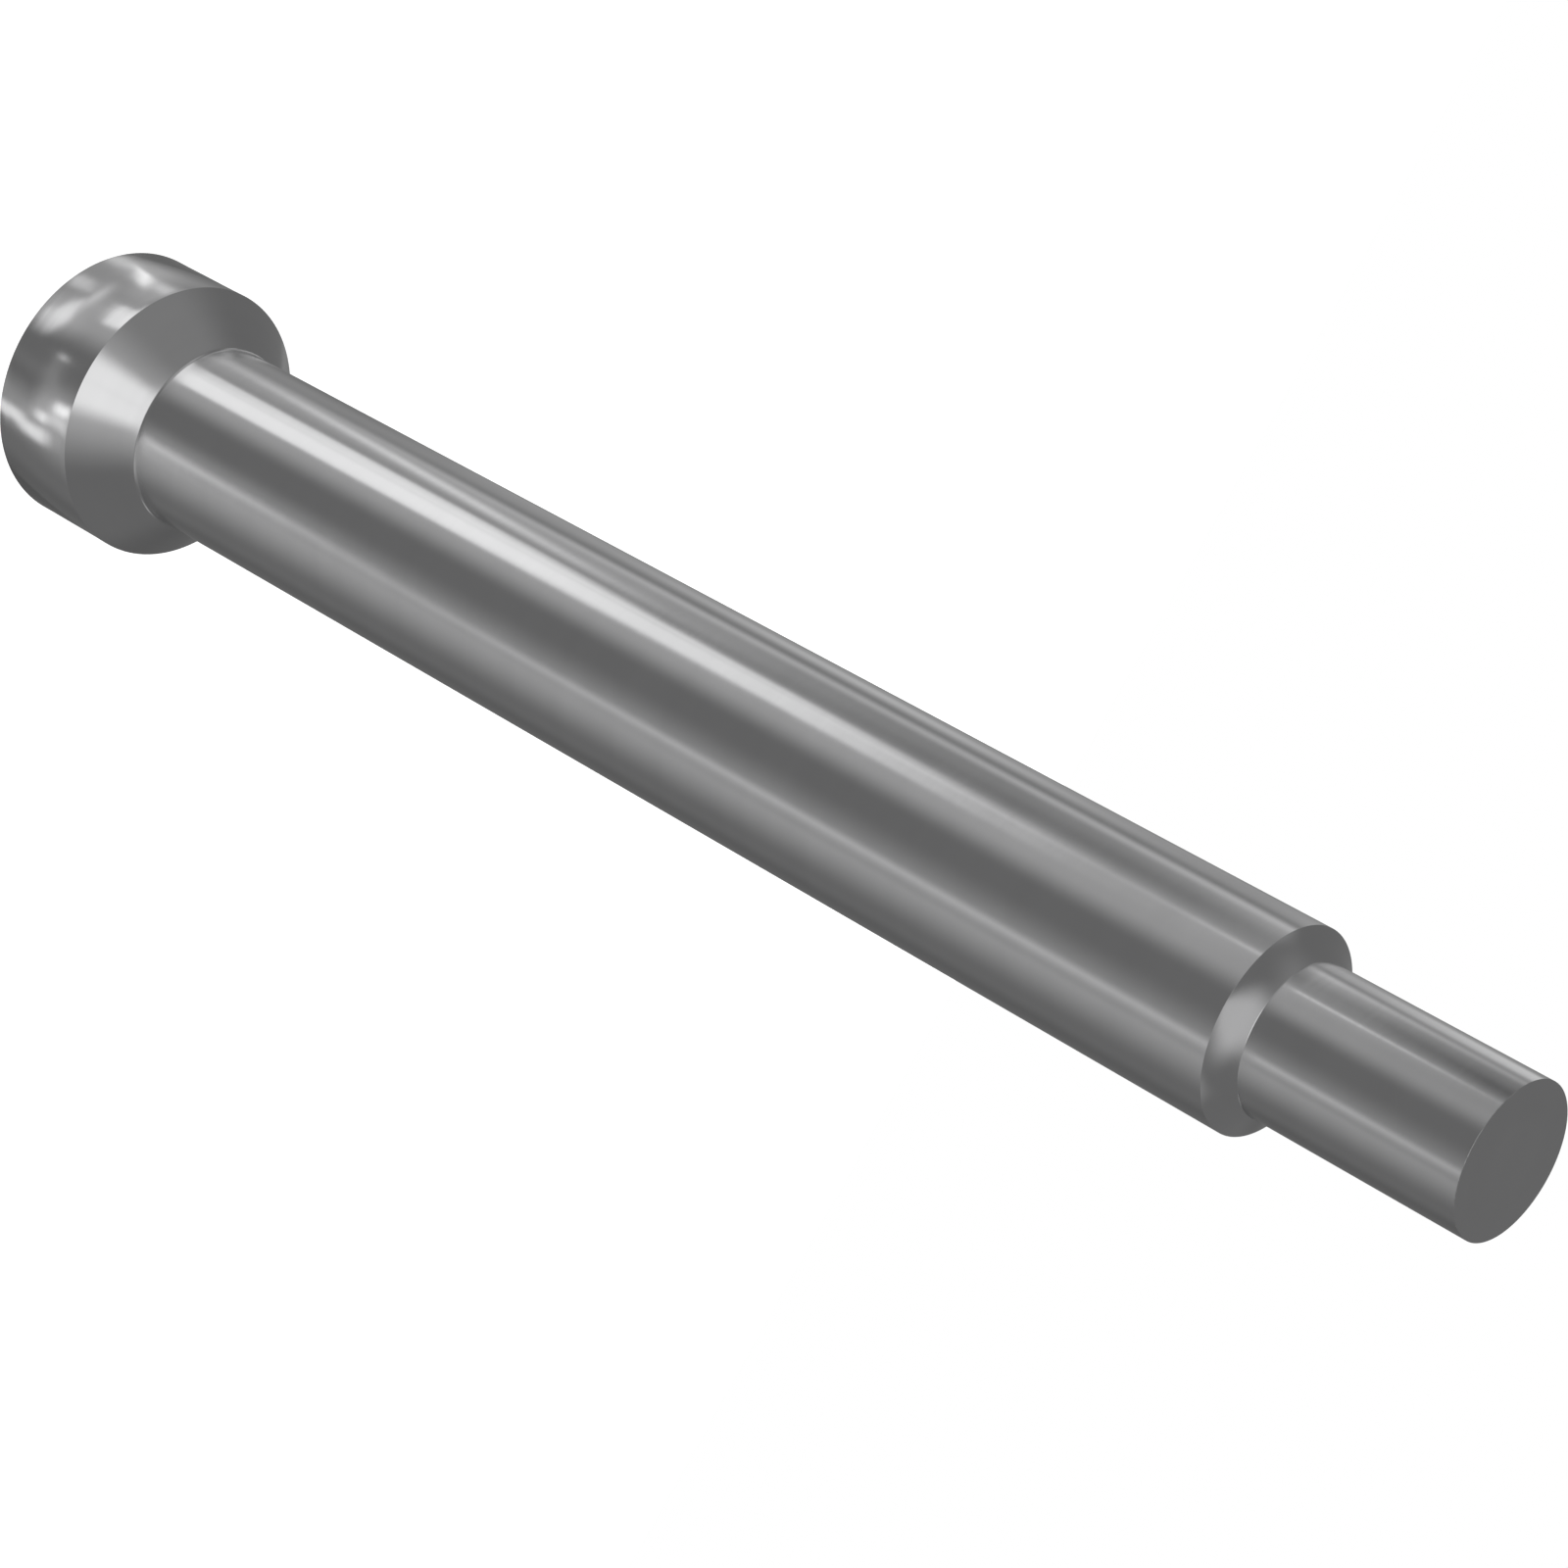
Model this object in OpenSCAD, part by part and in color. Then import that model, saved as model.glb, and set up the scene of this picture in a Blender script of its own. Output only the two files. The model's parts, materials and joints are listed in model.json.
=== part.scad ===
// Plain headed shoulder bolt, turned from one piece of steel.
// Its axis is Z. It stands on its head, with the head's end face on Z = 0 and the tip up.

/* [Head] */
// Diameter of the head
head_d = 12; // [10.5:0.1:16]
// Height of the head's straight side
head_h = 4.5; // [3:0.1:10]
// Bevel round the head's end face
head_bevel = 0.05; // [0.05:0.05:0.5]

/* [Shank] */
// Diameter of the long shank
shank_d = 8; // [7.2:0.1:9.5]
// Length from the head's rim to the shoulder, with the cone under the head
shank_len = 60.5; // [30:0.5:150]

/* [Tip] */
// Diameter of the reduced tip
tip_d = 6; // [4:0.1:6.6]
// Length from the shoulder to the end face, with the shoulder's cone
tip_len = 10; // [5:0.5:30]
// Bevel round the tip's end face
tip_bevel = 0.05; // [0.05:0.05:0.5]

/* [Cones] */
// Slope of the cone under the head, measured from the axis
seat_slope = 43; // [30:1:60]
// Radius that runs this cone into the shank
seat_blend = 0.2; // [0.1:0.1:1.5]
// Slope of the shoulder's cone, measured from the axis
shoulder_slope = 52; // [30:1:60]
// Radius that runs this cone into the tip
shoulder_blend = 0.2; // [0.1:0.1:1.5]

/* [Hidden] */
$fn = 96;
head_r = head_d / 2;
shank_r = shank_d / 2;
tip_r = tip_d / 2;
shoulder_z = head_h + shank_len;

// Half section of a straight stretch, with a bevel at its lower and at its upper end
module stretch_half(r, len, low_bevel = 0, high_bevel = 0) {
    polygon([
        [0, 0],
        [r - low_bevel, 0],
        [r, low_bevel],
        [r, len - high_bevel],
        [r - high_bevel, len],
        [0, len]
    ]);
}

// Half section of a cone that narrows upwards and runs into the stretch above it
module cone_half(wide_r, narrow_r, slope, blend) {
    drop = wide_r - narrow_r;
    // The blend's circle touches the cone no further out than its wide end
    blend_r = min(blend, drop / (tan(slope / 2) * sin(slope)));
    // Height of the corner that the cone would have without its blend
    corner_z = drop / tan(slope);
    // From that corner to where the circle touches either side
    reach = blend_r * tan(slope / 2);
    touch_r = narrow_r + reach * sin(slope);
    touch_z = corner_z - reach * cos(slope);
    top_z = corner_z + reach;
    difference() {
        polygon([
            [0, 0],
            [wide_r, 0],
            [touch_r, touch_z],
            [narrow_r, top_z],
            [0, top_z]
        ]);
        translate([narrow_r + blend_r, top_z])
            circle(r = blend_r);
    }
}

// Half section of the whole bolt, to the right of its axis
module bolt_half() {
    stretch_half(head_r, head_h, low_bevel = head_bevel);
    translate([0, head_h]) {
        cone_half(head_r, shank_r, seat_slope, seat_blend);
        stretch_half(shank_r, shank_len);
    }
    translate([0, shoulder_z]) {
        cone_half(shank_r, tip_r, shoulder_slope, shoulder_blend);
        stretch_half(tip_r, tip_len, high_bevel = tip_bevel);
    }
}

module bolt() {
    color("silver")
        rotate_extrude()
            bolt_half();
}

bolt();
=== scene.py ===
"""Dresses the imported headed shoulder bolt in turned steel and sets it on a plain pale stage."""

import json
import math

import bpy
from bpy.props import FloatProperty, FloatVectorProperty, IntProperty, PointerProperty
from mathutils import Matrix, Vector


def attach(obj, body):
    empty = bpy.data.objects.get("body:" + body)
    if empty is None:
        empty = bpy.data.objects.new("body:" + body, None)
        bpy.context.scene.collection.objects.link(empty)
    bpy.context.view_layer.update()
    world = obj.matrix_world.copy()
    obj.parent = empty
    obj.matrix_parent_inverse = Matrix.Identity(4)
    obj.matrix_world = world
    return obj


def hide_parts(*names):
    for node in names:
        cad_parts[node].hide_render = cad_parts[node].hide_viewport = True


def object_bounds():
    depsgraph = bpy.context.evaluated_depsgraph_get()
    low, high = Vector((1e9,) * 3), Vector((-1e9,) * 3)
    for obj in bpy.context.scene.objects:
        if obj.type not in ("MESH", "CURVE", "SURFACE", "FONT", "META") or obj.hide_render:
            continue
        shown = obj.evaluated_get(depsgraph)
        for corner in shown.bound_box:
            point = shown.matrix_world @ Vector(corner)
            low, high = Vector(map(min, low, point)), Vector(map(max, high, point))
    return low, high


bl_info = {
    "name": "Headed shoulder bolt",
    "version": (1, 0, 0),
    "blender": (4, 5, 0),
    "location": "3D View > Sidebar > Bolt",
    "description": "Turns the bolt's finished body, gives it its steel and sets the stage",
    "category": "Object",
}

MM = 0.001
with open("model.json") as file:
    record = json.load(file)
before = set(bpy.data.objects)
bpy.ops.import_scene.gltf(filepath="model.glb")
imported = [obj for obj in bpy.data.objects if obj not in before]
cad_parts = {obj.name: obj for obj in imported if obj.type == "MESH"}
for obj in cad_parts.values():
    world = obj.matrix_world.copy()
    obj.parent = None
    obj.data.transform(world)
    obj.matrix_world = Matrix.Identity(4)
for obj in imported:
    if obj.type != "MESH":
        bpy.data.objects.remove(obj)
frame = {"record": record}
CAD_LOW, CAD_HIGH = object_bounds()
MOUNTS = {mount["name"]: mount for mount in frame["record"]["mounts"]}


def mount_diameter(name):
    """Diameter of one of the record's round mounts, in metres."""
    return 2 * MOUNTS[name]["dims"]["r_mm"] * MM


# Settings


def length(name, text, value):
    """A size in metres."""
    return FloatProperty(
        name=name, description=text, default=value, min=0, precision=5, unit="LENGTH"
    )


def angle(name, text, degrees):
    """An angle, given in degrees."""
    return FloatProperty(
        name=name, description=text, default=math.radians(degrees), subtype="ANGLE"
    )


def share(name, text, value):
    """A plain number from 0 to 1."""
    return FloatProperty(name=name, description=text, default=value, min=0, max=1)


def colour(name, text, value):
    """A linear colour."""
    return FloatVectorProperty(
        name=name, description=text, default=value, min=0, max=1, subtype="COLOR"
    )


class BoltSizes(bpy.types.PropertyGroup):
    """The turned body's sizes, as the CAD model has them."""

    head_d: length("Head diameter", "Across the head", 2 * max(CAD_HIGH.x, CAD_HIGH.y))
    head_h: length("Head height", "Straight side of the head", 4.5 * MM)
    shank_d: length("Shank diameter", "Across the shank", mount_diameter("shank"))
    shoulder_z: length("Shoulder height", "From the head's face to the shoulder", 65 * MM)
    tip_d: length("Tip diameter", "Across the tip", mount_diameter("tip"))
    overall: length("Overall length", "From end face to end face", CAD_HIGH.z)
    seat_slope: angle("Seat slope", "Slope of the cone under the head, from the axis", 43)
    shoulder_slope: angle("Shoulder slope", "Slope of the shoulder's cone, from the axis", 52)
    seat_blend: length("Seat blend", "Radius that ends the cone under the head", 0.3 * MM)
    shoulder_blend: length("Shoulder blend", "Radius that ends the shoulder's cone", 0.05 * MM)
    bevel: length("End bevel", "Bevel round each end face", 0.01 * MM)
    rounding: length("Edge rounding", "Radius left on each turned edge", 0.005 * MM)
    wave_depth: length("Wave depth", "Depth of the waves in the head's side", 0.012 * MM)
    wave_size: length("Wave size", "Breadth of one of these waves", 1.5 * MM)
    segments: IntProperty(
        name="Segments", description="Steps round the axis", default=256, min=24, max=360
    )


class SteelLook(bpy.types.PropertyGroup):
    """The steel's colour and finish."""

    grey: colour("Steel grey", "Colour of the clean steel", (0.57, 0.57, 0.575))
    roughness: share("Roughness", "Mean roughness of the turned faces", 0.13)
    corner_roughness: share("Corner roughness", "What either inner corner adds to it", 0.08)
    mark_depth: length("Mark depth", "Depth of the fine turning marks", 0.0003 * MM)
    wave_depth: length("Wave depth", "Depth of the faint waves on every face", 0.003 * MM)
    side_lean: angle("Side lean", "How far the shading leans down at the head's lower edge", 12)
    dish: angle("Dish", "How far the shading turns at either edge of the shoulder's cone", 7)


class StudioLook(bpy.types.PropertyGroup):
    """The stage, its light and the camera."""

    camera_at: FloatVectorProperty(
        name="Camera place",
        description="Where the camera stands",
        default=(0.86 * MM, -131.98 * MM, 139.16 * MM),
        subtype="TRANSLATION",
    )
    camera_pitch: angle("Camera pitch", "How far the camera looks down", 36.48)
    camera_roll: angle("Camera roll", "How far the camera is turned on its side", 119.26)
    lens: FloatProperty(
        name="Lens", description="Focal length in mm on a 36 mm sensor", default=100.95
    )
    paper: colour("Paper", "Colour of the floor in plain light", (0.9, 0.9, 0.9))
    paper_glow: share("Paper glow", "What the camera sees the floor's white lifted by", 0.85)
    floor_half: length("Floor half", "From the middle of the floor to its edge", 80 * MM)


# Node helpers


class Value:
    """A number in a node tree. Arithmetic on it adds Math nodes."""

    def __init__(self, tree, socket):
        self.tree = tree
        self.socket = socket

    def _math(self, operation, *terms):
        return self.tree.node("ShaderNodeMath", {"operation": operation}, enumerate(terms))

    def __add__(self, other):
        return self._math("ADD", self, other)

    def __radd__(self, other):
        return self._math("ADD", other, self)

    def __sub__(self, other):
        return self._math("SUBTRACT", self, other)

    def __rsub__(self, other):
        return self._math("SUBTRACT", other, self)

    def __mul__(self, other):
        return self._math("MULTIPLY", self, other)

    def __rmul__(self, other):
        return self._math("MULTIPLY", other, self)

    def __truediv__(self, other):
        return self._math("DIVIDE", self, other)

    def __rtruediv__(self, other):
        return self._math("DIVIDE", other, self)

    def __neg__(self):
        return self._math("MULTIPLY", self, -1.0)

    def __abs__(self):
        return self._math("ABSOLUTE", self)

    def __mod__(self, other):
        return self._math("FLOORED_MODULO", self, other)

    def floor(self):
        return self._math("FLOOR", self)

    def sin(self):
        return self._math("SINE", self)

    def cos(self):
        return self._math("COSINE", self)

    def tan(self):
        return self._math("TANGENT", self)

    def asin(self):
        return self._math("ARCSINE", self)

    def degrees(self):
        return self._math("DEGREES", self)

    def turned_from(self, other):
        return self._math("ARCTAN2", self, other)

    def minimum(self, other):
        return self._math("MINIMUM", self, other)

    def maximum(self, other):
        return self._math("MAXIMUM", self, other)

    def fade(self, low, high):
        """0 below low, 1 above high, and a smooth change between. High may be the lower one."""
        return self.tree.node(
            "ShaderNodeMapRange",
            {"interpolation_type": "SMOOTHSTEP"},
            {"Value": self, "From Min": low, "From Max": high},
        )

    def output(self, name):
        """Another output of the node that this value comes from."""
        return Value(self.tree, self.socket.node.outputs[name])


class Tree:
    """Adds nodes to a tree."""

    def __init__(self, node_tree):
        self.tree = node_tree

    def node(self, kind, settings=(), sockets=(), out=0):
        """One node of that kind: its settings are set first, then its sockets' values or links."""
        made = self.tree.nodes.new(kind)
        for key, value in dict(settings).items():
            if key == "choices":
                while len(made.index_switch_items) < value:
                    made.index_switch_items.new()
            else:
                setattr(made, key, value)
        for key, value in dict(sockets).items():
            self.feed(made.inputs[key], value)
        return Value(self, made.outputs[out] if made.outputs else None)

    def feed(self, socket, value):
        """Links or sets one socket."""
        if isinstance(value, Value):
            self.tree.links.new(value.socket, socket)
        else:
            socket.default_value = value

    def vector(self, operation, *terms, out=0):
        return self.node("ShaderNodeVectorMath", {"operation": operation}, enumerate(terms), out)

    def joined(self, x=0.0, y=0.0, z=0.0):
        """A vector from three numbers."""
        return self.node("ShaderNodeCombineXYZ", (), {"X": x, "Y": y, "Z": z})

    def split(self, vector):
        """The three numbers of a vector."""
        parts = self.node("ShaderNodeSeparateXYZ", (), {0: vector})
        return parts, parts.output("Y"), parts.output("Z")

    def scaled(self, vector, factor):
        """A vector or a colour times a number."""
        return self.node(
            "ShaderNodeVectorMath", {"operation": "SCALE"}, {"Vector": vector, "Scale": factor}
        )

    def bump(self, height, distance, normal=None):
        """A normal bent by a height, over another normal where one is given."""
        sockets = {"Strength": 1.0, "Distance": distance, "Height": height}
        if normal:
            sockets["Normal"] = normal
        return self.node("ShaderNodeBump", (), sockets)

    def noise(self, vector, scale, detail=2.0, roughness=0.5):
        """Noise from 0 to 1."""
        return self.node(
            "ShaderNodeTexNoise",
            {"noise_dimensions": "3D"},
            {"Vector": vector, "Scale": scale, "Detail": detail, "Roughness": roughness},
        )


# The turned body


class TurnedBody(Tree):
    """Geometry Nodes that turn the bolt's half section round the axis."""

    INPUTS = (
        ("Head radius", "Float"),
        ("Head height", "Float"),
        ("Shank radius", "Float"),
        ("Shoulder height", "Float"),
        ("Tip radius", "Float"),
        ("Overall length", "Float"),
        ("Seat slope", "Float"),
        ("Shoulder slope", "Float"),
        ("Seat blend", "Float"),
        ("Shoulder blend", "Float"),
        ("End bevel", "Float"),
        ("Edge rounding", "Float"),
        ("Wave depth", "Float"),
        ("Wave size", "Float"),
        ("Segments", "Int"),
        ("Material", "Material"),
    )
    # Steps in each rounded edge and blend
    ROUND_STEPS = 10
    # Rings on the head's side, on the shank and on the tip
    HEAD_RINGS = 30
    SHANK_RINGS = 40
    TIP_RINGS = 8
    # Points closer than this are one point: the seam, and the middle of either end face
    SAME_POINT = 0.0001 * MM
    # The waves start and are full at these shares of the head's radius, and of its side's height
    # above the lower edge and below the upper one
    WAVY_RADIUS = (0.95, 0.99)
    WAVY_FROM = (0.02, 0.15)
    WAVY_UP_TO = (0.98, 0.85)

    def __init__(self):
        super().__init__(bpy.data.node_groups.new("turned_bolt", "GeometryNodeTree"))
        interface = self.tree.interface
        interface.new_socket(name="Mesh", in_out="OUTPUT", socket_type="NodeSocketGeometry")
        for name, kind in self.INPUTS:
            interface.new_socket(name=name, in_out="INPUT", socket_type="NodeSocket" + kind)
        group = self.tree.nodes.new("NodeGroupInput")
        self.size = {name: Value(self, group.outputs[name]) for name, _ in self.INPUTS}
        self.finish(self.lathe(self.half_section()))

    def corners(self):
        """The half section's corners from the head's face to the tip's, each with its rounding."""
        size = self.size
        head, shank, tip = size["Head radius"], size["Shank radius"], size["Tip radius"]
        rim, shoulder, top = size["Head height"], size["Shoulder height"], size["Overall length"]
        bevel, soft = size["End bevel"], size["Edge rounding"]
        seat_rise = (head - shank) / size["Seat slope"].tan()
        shoulder_rise = (shank - tip) / size["Shoulder slope"].tan()
        return (
            (0.0, 0.0, 0.0),
            (head - bevel, 0.0, soft),
            (head, bevel, soft),
            (head, rim, soft),
            (shank, rim + seat_rise, size["Seat blend"]),
            (shank, shoulder, soft),
            (tip, shoulder + shoulder_rise, size["Shoulder blend"]),
            (tip, top - bevel, soft),
            (tip - bevel, top, soft),
            (0.0, top, 0.0),
        )

    def half_section(self):
        """The half section as a curve, with a guard point beside each rounding, so that the
        straight stretches shade straight."""
        corners = self.corners()
        places = [self.joined(x=radius, z=height) for radius, height, _ in corners]
        guards = [rounding for _, _, rounding in corners]
        # By the number of the corner that the straight stretch starts from
        rings = {2: self.HEAD_RINGS, 4: self.SHANK_RINGS, 6: self.TIP_RINGS}
        stations = []
        for index, place in enumerate(places):
            if index > 0:
                stations.append((self.beside(place, places[index - 1], guards[index]), 0.0, 0))
            stations.append((place, corners[index][2], 0))
            if index < len(places) - 1:
                spot = self.beside(place, places[index + 1], guards[index])
                stations.append((spot, 0.0, rings.get(index, 0)))
        count = len(stations)
        line = self.node(
            "GeometryNodeResampleCurve",
            {"mode": "COUNT"},
            {"Curve": self.node("GeometryNodeCurvePrimitiveLine"), "Count": count},
        )
        columns = list(zip(*stations))
        line = self.node(
            "GeometryNodeSetPosition",
            (),
            {"Geometry": line, "Position": self.pick("VECTOR", columns[0])},
        )
        line = self.node(
            "GeometryNodeSetCurveRadius",
            (),
            {"Curve": line, "Radius": self.pick("FLOAT", columns[1])},
        )
        line = self.node(
            "GeometryNodeSubdivideCurve",
            (),
            {"Curve": line, "Cuts": self.pick("INT", columns[2])},
        )
        return self.node(
            "GeometryNodeFilletCurve",
            {"mode": "POLY"},
            {
                "Curve": line,
                "Count": self.ROUND_STEPS,
                "Radius": self.node("GeometryNodeInputRadius"),
            },
        )

    def beside(self, place, neighbour, distance):
        """A point a little further from place than the rounding reaches, towards its neighbour."""
        way = self.vector("NORMALIZE", self.vector("SUBTRACT", neighbour, place))
        reach = self.joined(*[distance + self.size["Edge rounding"]] * 3)
        return self.vector("MULTIPLY_ADD", way, reach, place)

    def pick(self, kind, choices):
        """The choice that has the point's own number."""
        index = self.node("GeometryNodeInputIndex")
        return self.node(
            "GeometryNodeIndexSwitch",
            {"data_type": kind, "choices": len(choices)},
            {0: index, **{place + 1: choice for place, choice in enumerate(choices)}},
        )

    def lathe(self, line):
        """A grid with a column of points for each step round the axis, wound up and closed."""
        count = self.node(
            "GeometryNodeAttributeDomainSize", {"component": "CURVE"}, {"Geometry": line}
        )
        segments = self.size["Segments"]
        grid = self.node(
            "GeometryNodeMeshGrid", (), {"Vertices X": segments + 1, "Vertices Y": count}
        )
        index = self.node("GeometryNodeInputIndex")
        section_point = self.node(
            "GeometryNodeSampleIndex",
            {"data_type": "FLOAT_VECTOR", "domain": "POINT"},
            {
                "Geometry": line,
                "Value": self.node("GeometryNodeInputPosition"),
                "Index": index % count,
            },
        )
        radius, _, height = self.split(section_point)
        turn = (index / count).floor() / segments * math.tau
        place = self.joined(radius * turn.cos(), radius * turn.sin(), height)
        radius = radius - self.waves(place, radius, height)
        place = self.joined(radius * turn.cos(), radius * turn.sin(), height)
        wound = self.node("GeometryNodeSetPosition", (), {"Geometry": grid, "Position": place})
        return self.node(
            "GeometryNodeMergeByDistance", (), {"Geometry": wound, "Distance": self.SAME_POINT}
        )

    def waves(self, place, radius, height):
        """How far the head's side lies in at a place. Its two edges stay round."""
        size = self.size
        rim = size["Head height"]
        side = self.within(radius, size["Head radius"], self.WAVY_RADIUS)
        side = side * self.within(height, rim, self.WAVY_FROM)
        side = side * self.within(height, rim, self.WAVY_UP_TO)
        place = self.scaled(place, 1 / size["Wave size"])
        return self.noise(place, scale=1.0, detail=1.0) * side * size["Wave depth"]

    @staticmethod
    def within(value, whole, shares):
        """0 at the first share of the whole and 1 at the second."""
        start, full = shares
        return value.fade(whole * start, whole * full)

    def finish(self, mesh):
        """Smooth, real and dressed."""
        mesh = self.node("GeometryNodeSetShadeSmooth", (), {"Geometry": mesh})
        mesh = self.node("GeometryNodeRealizeInstances", (), {"Geometry": mesh})
        mesh = self.node(
            "GeometryNodeSetMaterial", (), {"Geometry": mesh, "Material": self.size["Material"]}
        )
        self.node("NodeGroupOutput", (), {"Mesh": mesh})


def grown(name, group, values):
    """A plain mesh object from a Geometry Nodes group with those input values."""
    seed = bpy.data.objects.new(name + "_seed", bpy.data.meshes.new(name + "_seed"))
    bpy.context.scene.collection.objects.link(seed)
    modifier = seed.modifiers.new("Nodes", "NODES")
    modifier.node_group = group
    for item in group.interface.items_tree:
        if item.in_out == "INPUT":
            modifier[item.identifier] = values[item.name]
    depsgraph = bpy.context.evaluated_depsgraph_get()
    mesh = bpy.data.meshes.new_from_object(seed.evaluated_get(depsgraph))
    seed.modifiers.clear()
    bpy.data.objects.remove(seed)
    mesh.name = name
    piece = bpy.data.objects.new(name, mesh)
    bpy.context.scene.collection.objects.link(piece)
    return piece


# Materials


def new_material(name):
    """An empty node material and its tree."""
    material = bpy.data.materials.new(name)
    material.use_nodes = True
    material.node_tree.nodes.clear()
    return material, Tree(material.node_tree)


# Fine and broad marks: their waves for each millimetre, round the axis and along the section
FINE_MARKS = (0.05, 6.0)
BROAD_MARKS = (0.04, 0.9)
# Clouds: their waves for each millimetre, the same every way
CLOUDS = 0.35
# How far the clouds and the broad marks change the tone
CLOUD_TONE = 0.06
BROAD_TONE = 0.05
# How far the fine marks and the clouds change the roughness
FINE_ROUGHNESS = 0.05
CLOUD_ROUGHNESS = 0.06
# How far the rougher finish of an inner corner reaches up the cylinder and down the cone, in mm
SEAT_REACH = (1.3, 0.4)
SHOULDER_REACH = (0.8, 0.3)


def ring_marks(tree, x, y, along, waves, detail, roughness):
    """Marks that run round the axis: they change fast along the section and slowly round it."""
    slow, fast = waves
    place = tree.joined(x * slow, y * slow, along * fast)
    return tree.noise(place, 1.0, detail, roughness)


def corner_mask(z, corner, reach):
    """1 at an inner corner's height, and 0 beyond its reach up the cylinder or down the cone."""
    up, down = reach
    return z.fade(corner + up, corner) * z.fade(corner - down, corner)


def turned_steel(look, sizes):
    """Bright turned steel: fine marks round the axis, rougher inner corners, and a slight lean
    and dish in its shading where the photographed steel has them."""
    material, tree = new_material("turned_steel")
    place = tree.node("ShaderNodeTexCoord").output("Object")
    place = tree.vector("MULTIPLY", place, (1 / MM,) * 3)
    x, y, z = tree.split(place)
    radius = tree.vector("LENGTH", tree.joined(x, y, 0.0), out="Value")
    # Grows steadily along the section, on the faces as on the cylinders
    along = z - radius

    fine = ring_marks(tree, x, y, along, FINE_MARKS, detail=3.0, roughness=0.7)
    broad = ring_marks(tree, x, y, along, BROAD_MARKS, detail=2.0, roughness=0.5)
    cloud = tree.noise(place, CLOUDS, detail=3.0, roughness=0.6)

    # A slope that grows from the head's rim to its lower edge, so that the side mirrors a
    # broad stretch of the studio, as the photographed one does
    head_h = sizes.head_h / MM
    low = z.minimum(head_h)
    relief = (low - low * low / (2 * head_h)) * math.tan(look.side_lean)

    # The shoulder's cone is very slightly dished, about the middle of its height in mm
    half = (sizes.shank_d - sizes.tip_d) / (4 * MM * math.tan(sizes.shoulder_slope))
    off = z - (sizes.shoulder_z / MM + half)
    off = off.minimum(half).maximum(-half)
    steep = math.tan(look.dish) / (2 * half * math.cos(sizes.shoulder_slope))
    relief = off * off * steep + relief

    # The tool leaves either inner corner rougher, further along the cylinder than the cone
    seat = (sizes.head_d - sizes.shank_d) / (2 * MM * math.tan(sizes.seat_slope))
    seat = sizes.head_h / MM + seat
    step = sizes.shoulder_z / MM + 2 * half
    corner = corner_mask(z, step, SHOULDER_REACH) + corner_mask(z, seat, SEAT_REACH)

    marks = tree.bump(fine, look.mark_depth)
    waves = tree.bump(cloud, look.wave_depth, marks)
    normal = tree.bump(relief, MM, waves)

    # Noise is 0.5 on the whole, so the means stay as they are set
    tone = (cloud - 0.5) * CLOUD_TONE + (broad - 0.5) * BROAD_TONE + 1.0
    tint = tree.scaled(tuple(look.grey), tone)
    rough = look.roughness + (fine - 0.5) * FINE_ROUGHNESS + (cloud - 0.5) * CLOUD_ROUGHNESS
    rough = corner * look.corner_roughness + rough
    shader = tree.node(
        "ShaderNodeBsdfPrincipled",
        (),
        {"Base Color": tint, "Metallic": 1.0, "Roughness": rough, "Normal": normal},
    )
    tree.node("ShaderNodeOutputMaterial", (), {"Surface": shader})
    return material


def paper_floor(look):
    """Paper that the camera sees as white, with a faint shadow on it."""
    material, tree = new_material("paper")
    plain = tree.node("ShaderNodeBsdfDiffuse", (), {"Color": (*look.paper, 1.0)})
    glow = tree.node("ShaderNodeEmission", (), {"Strength": look.paper_glow})
    white = tree.node("ShaderNodeAddShader", (), {0: plain, 1: glow})
    seen = tree.node("ShaderNodeLightPath").output("Is Camera Ray")
    surface = tree.node("ShaderNodeMixShader", (), {0: seen, 1: plain, 2: white})
    tree.node("ShaderNodeOutputMaterial", (), {"Surface": surface})
    return material


# The stage


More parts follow.
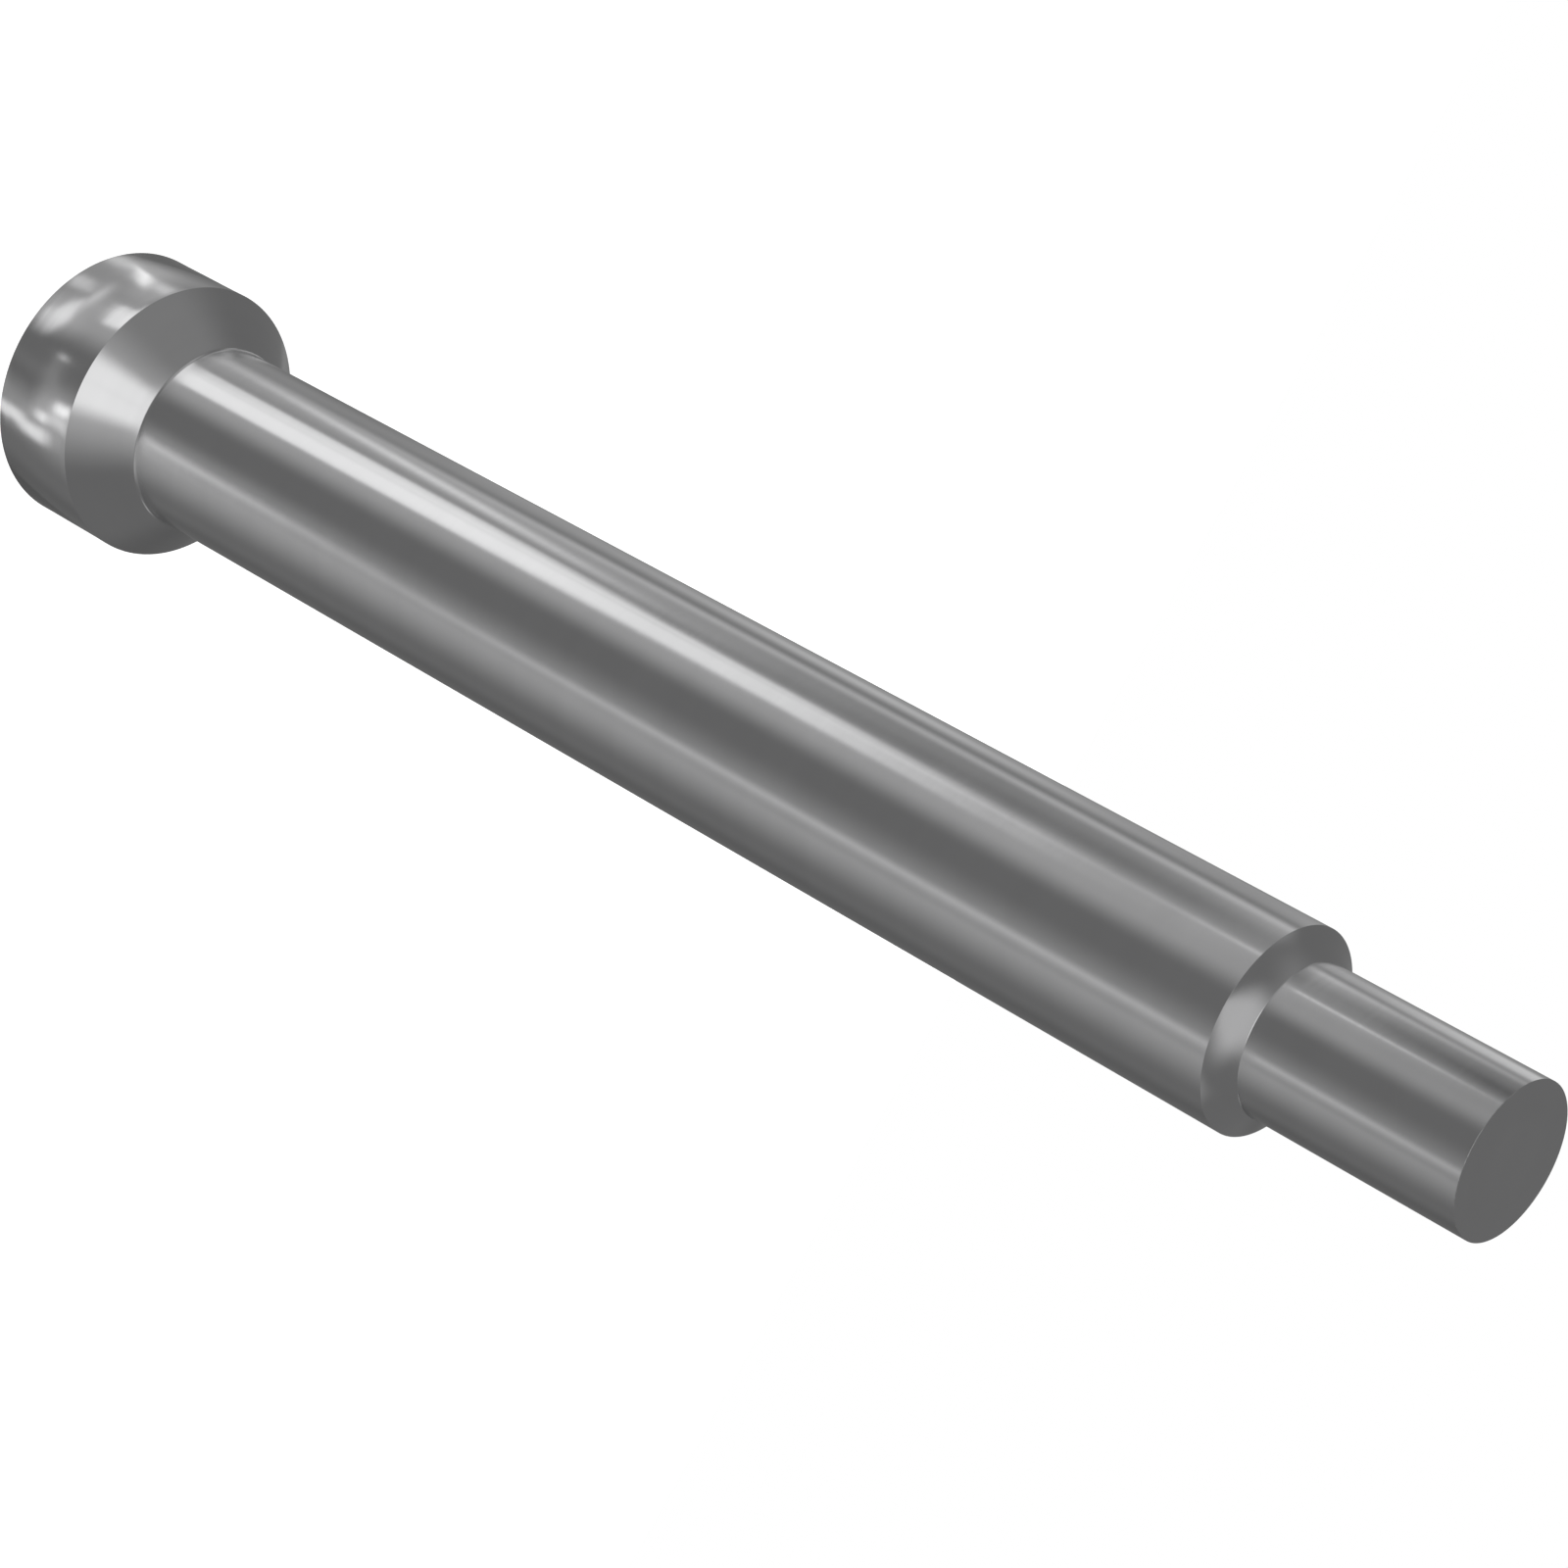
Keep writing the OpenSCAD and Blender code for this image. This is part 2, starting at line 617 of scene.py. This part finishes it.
class StudioSky(Tree):
    """The soft boxes and dark cloths round the bolt, as directions in the world."""

    # One soft box in each row: bearing and height of its middle, half width and half height,
    # soft edge across and up, how far it leans over for each degree up, and how bright it is.
    # All but the last two are in degrees. Bearing 0 is towards the camera and 90 towards +X.
    SOFT_BOXES = (
        # The key box low on the left: its lower, middle and upper part, the dark bar in it, the
        # point it ends in, and its glow
        (-54.3, -49.4, 11.8, 2.9, 3, 1.2, 0, 1.06),
        (-58, -43.2, 15.8, 3.2, 2.5, 1.2, 0, 1.06),
        (-56.5, -37.7, 11.5, 2.3, 3.5, 2.5, 0, 0.96),
        (-62, -45, 0.6, 9, 1.2, 2, 0, -0.35),
        (-60, -34.5, 2, 1.5, 2.5, 1.5, 0, 0.30),
        (-46, -60, 24, 35, 14, 8, 0, 0.39),
        # Further left: a glow, a leaning tube, an upright tube and its glow
        (-92, -45, 16, 7, 10, 4, 0, 0.31),
        (-93, -42.3, 5, 2.2, 5, 1.5, 4, 0.85),
        (-110, -34, 5, 10, 6, 6, 0, 0.45),
        (-96, -35, 14, 7, 12, 5, 0, 0.14),
        (-102, -29, 8, 3, 8, 3, 0, 0.14),
        # The wall behind on the left, with two windows
        (-143, -34, 21, 8.5, 12, 1.5, 0, 0.22),
        (-128, -50, 18, 7.5, 16, 2, 0, 0.18),
        (-138, -36, 8, 2.5, 8, 3, 0, 0.36),
        (-133, -25.5, 13, 2, 8, 3.5, 0, 0.82),
        # What the tip mirrors: a shelf, a thin tube in a glow, a dark cloth and a pale one
        (-90, -29.3, 20, 0.5, 8, 1, 0, 0.55),
        (-60, -29, 1.5, 1, 2.5, 1.4, 0, 1.30),
        (-57, -28.7, 6, 1, 7, 1.5, 0, 0.15),
        (-74, -24.5, 9, 2.2, 7, 2, 0, -0.18),
        (-32, -24, 10, 1.5, 8, 2.5, 0, 0.12),
        # Low on the right: a glow with a dark bar in it, and a tube in two parts
        (58, -60, 20, 38, 30, 10, 0, 0.42),
        (57, -30, 3, 8, 4, 3, 0, -0.10),
        (46, -70, 16, 10.5, 12, 1.5, 0, -0.24),
        (42, -45.5, 2, 1.5, 8, 2, 0, 1.10),
        (45.5, -33, 2.5, 9, 6, 3, 0, 0.42),
        (28, -46, 6, 2, 10, 2, 0, 0.15),
        # A dark cloth behind on the right
        (150, -35, 24, 30, 12, 10, 0, -0.07),
        # In front: a box with a bar in it, and its glow
        (7.5, 27, 22.5, 18, 8, 6, 0, 0.92),
        (7, 27, 0.7, 18, 1.5, 6, 0, -0.16),
        (14, 36, 41, 22, 25, 10, 0, 0.50),
        (-65, 30, 40, 20, 20, 15, 0, 0.13),
        # Overhead, and high behind
        (20, 82, 66, 24, 30, 10, 0, 0.60),
        (180, 64, 50, 18, 20, 10, 0, 1.10),
        # Upright boxes level with the bolt, which the photograph's view doesn't catch
        (-52, -8, 24, 11, 12, 5, 0, 0.45),
        (56, -7, 22, 13, 12, 5, 0, 0.42),
        (114, -10, 8, 4, 5, 3, 0, 0.90),
        (-109, -11, 6, 4.5, 4, 3, 0, 0.75),
        # Small lamps near the ground, which only the head's leaning side catches
        (-107, -66, 33, 17, 14, 2.5, 0, 0.25),
        (-110.5, -52.7, 11, 1.1, 5, 0.9, 5.8, 1.50),
        (-103, -48.8, 7, 1.2, 6, 1, 3, 0.60),
        (-130, -55.8, 9, 2.2, 7, 1.5, 0, 0.30),
        (-38, -63.8, 15, 3.4, 5, 1.3, -3.8, 0.95),
        (-72, -58, 9, 1.4, 7, 0.8, -9, 0.90),
        (-84, -62.6, 9, 2.2, 5, 1.2, 0, 0.60),
        (0, -56, 2.5, 0.9, 2.5, 1, 0, 1.40),
        (12, -57, 12, 2.5, 8, 2, 0, 0.17),
        (40, -49.8, 4.5, 2.2, 3.5, 1, -1, 1.70),
        (52, -50, 6, 3, 6, 1.5, 0, 0.65),
        (58.5, -55.2, 4.5, 1.2, 2.5, 1, 0, 1.70),
        (78, -56, 7, 4, 5, 1.5, -1.2, 1.10),
        (83, -63.5, 7.5, 3.5, 5, 1.2, -1.5, 1.10),
        (40, -53, 16, 4, 8, 2.5, 0, 0.15),
    )

    # Light from where there is no soft box
    DIM_LIGHT = 0.26
    LAMP = (0.8, 0.8, 0.8, 1.0)
    WHITE = (1.0, 1.0, 1.0, 1.0)

    def __init__(self, node_tree):
        super().__init__(node_tree)
        x, y, z = self.split(self.node("ShaderNodeTexCoord").output("Generated"))
        self.bearing = x.turned_from(-y).degrees()
        self.height = z.asin().degrees()
        light = self.DIM_LIGHT
        for box in self.SOFT_BOXES:
            light = self.soft_box(*box) + light
        glow = self.node("ShaderNodeBackground", (), {"Color": self.LAMP, "Strength": light})
        white = self.node("ShaderNodeBackground", (), {"Color": self.WHITE})
        seen = self.node("ShaderNodeLightPath").output("Is Camera Ray")
        shown = self.node("ShaderNodeMixShader", (), {0: seen, 1: glow, 2: white})
        self.node("ShaderNodeOutputWorld", (), {"Surface": shown})

    def soft_box(self, bearing, height, half_width, half_height, soft_x, soft_y, lean, level):
        """One soft box with blurred edges."""
        up = self.height - height
        across = self.bearing - bearing
        if lean:
            across = across - up * lean
        if abs(bearing) + half_width + soft_x > 180:
            across = (across + 180) % 360 - 180
        across = abs(across).fade(half_width + soft_x, half_width - soft_x)
        up = abs(up).fade(half_height + soft_y, half_height - soft_y)
        return across * up * level


def studio_world():
    """The light that the steel mirrors, behind a plain white backdrop."""
    world = bpy.data.worlds.new("studio")
    world.use_nodes = True
    world.node_tree.nodes.clear()
    StudioSky(world.node_tree)
    bpy.context.scene.world = world


def studio_floor(look):
    """A sheet of pale paper under the bolt, which the steel doesn't mirror."""
    half = look.floor_half
    mesh = bpy.data.meshes.new("floor")
    corners = [(-half, -half, 0), (half, -half, 0), (half, half, 0), (-half, half, 0)]
    mesh.from_pydata(corners, [], [(0, 1, 2, 3)])
    mesh.materials.append(paper_floor(look))
    floor = bpy.data.objects.new("floor", mesh)
    floor.visible_glossy = False
    bpy.context.scene.collection.objects.link(floor)


# The width in mm that the lens is given for, and the nearest that the camera sees
SENSOR_WIDTH = 36.0
NEAREST_SEEN = 10 * MM


def photo_camera(look):
    """The camera of the photograph: above the tip's side, and rolled."""
    data = bpy.data.cameras.new("camera")
    data.lens = look.lens
    data.sensor_width = SENSOR_WIDTH
    data.clip_start = NEAREST_SEEN
    camera = bpy.data.objects.new("camera", data)
    tilt = Matrix.Rotation(math.pi / 2 - look.camera_pitch, 4, "X")
    roll = Matrix.Rotation(look.camera_roll, 4, "Z")
    camera.matrix_world = Matrix.Translation(look.camera_at) @ tilt @ roll
    bpy.context.scene.collection.objects.link(camera)
    bpy.context.scene.camera = camera


# Operators and the panel


class BOLT_OT_body(bpy.types.Operator):
    """Turn the bolt's body and dress it in steel"""

    bl_idname = "bolt.body"
    bl_label = "Bolt body"

    def execute(self, context):
        sizes = context.scene.bolt_sizes
        values = {
            "Head radius": sizes.head_d / 2,
            "Head height": sizes.head_h,
            "Shank radius": sizes.shank_d / 2,
            "Shoulder height": sizes.shoulder_z,
            "Tip radius": sizes.tip_d / 2,
            "Overall length": sizes.overall,
            "Seat slope": sizes.seat_slope,
            "Shoulder slope": sizes.shoulder_slope,
            "Seat blend": sizes.seat_blend,
            "Shoulder blend": sizes.shoulder_blend,
            "End bevel": sizes.bevel,
            "Edge rounding": sizes.rounding,
            "Wave depth": sizes.wave_depth,
            "Wave size": sizes.wave_size,
            "Segments": sizes.segments,
            "Material": turned_steel(context.scene.bolt_steel, sizes),
        }
        body = grown("turned_body", TurnedBody().tree, values)
        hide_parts("bolt")
        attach(body, "root")
        return {"FINISHED"}


class BOLT_OT_stage(bpy.types.Operator):
    """Set the floor, the light and the camera"""

    bl_idname = "bolt.stage"
    bl_label = "Stage"

    def execute(self, context):
        look = context.scene.bolt_studio
        studio_world()
        studio_floor(look)
        photo_camera(look)
        context.scene.view_settings.view_transform = "Standard"
        return {"FINISHED"}


class BOLT_PT_panel(bpy.types.Panel):
    """The bolt's sizes and looks"""

    bl_idname = "BOLT_PT_panel"
    bl_label = "Headed shoulder bolt"
    bl_space_type = "VIEW_3D"
    bl_region_type = "UI"
    bl_category = "Bolt"

    def draw(self, context):
        scene = context.scene
        groups = (
            (scene.bolt_sizes, "bolt.body"),
            (scene.bolt_steel, None),
            (scene.bolt_studio, "bolt.stage"),
        )
        for group, operator in groups:
            box = self.layout.box()
            for key in group.__annotations__:
                box.prop(group, key)
            if operator:
                box.operator(operator)


CLASSES = (BoltSizes, SteelLook, StudioLook, BOLT_OT_body, BOLT_OT_stage, BOLT_PT_panel)


def register():
    for cls in CLASSES:
        bpy.utils.register_class(cls)
    bpy.types.Scene.bolt_sizes = PointerProperty(type=BoltSizes)
    bpy.types.Scene.bolt_steel = PointerProperty(type=SteelLook)
    bpy.types.Scene.bolt_studio = PointerProperty(type=StudioLook)


def unregister():
    del bpy.types.Scene.bolt_studio
    del bpy.types.Scene.bolt_steel
    del bpy.types.Scene.bolt_sizes
    for cls in reversed(CLASSES):
        bpy.utils.unregister_class(cls)


def main():
    register()
    bpy.ops.bolt.body()
    bpy.ops.bolt.stage()


if __name__ == "__main__":
    main()
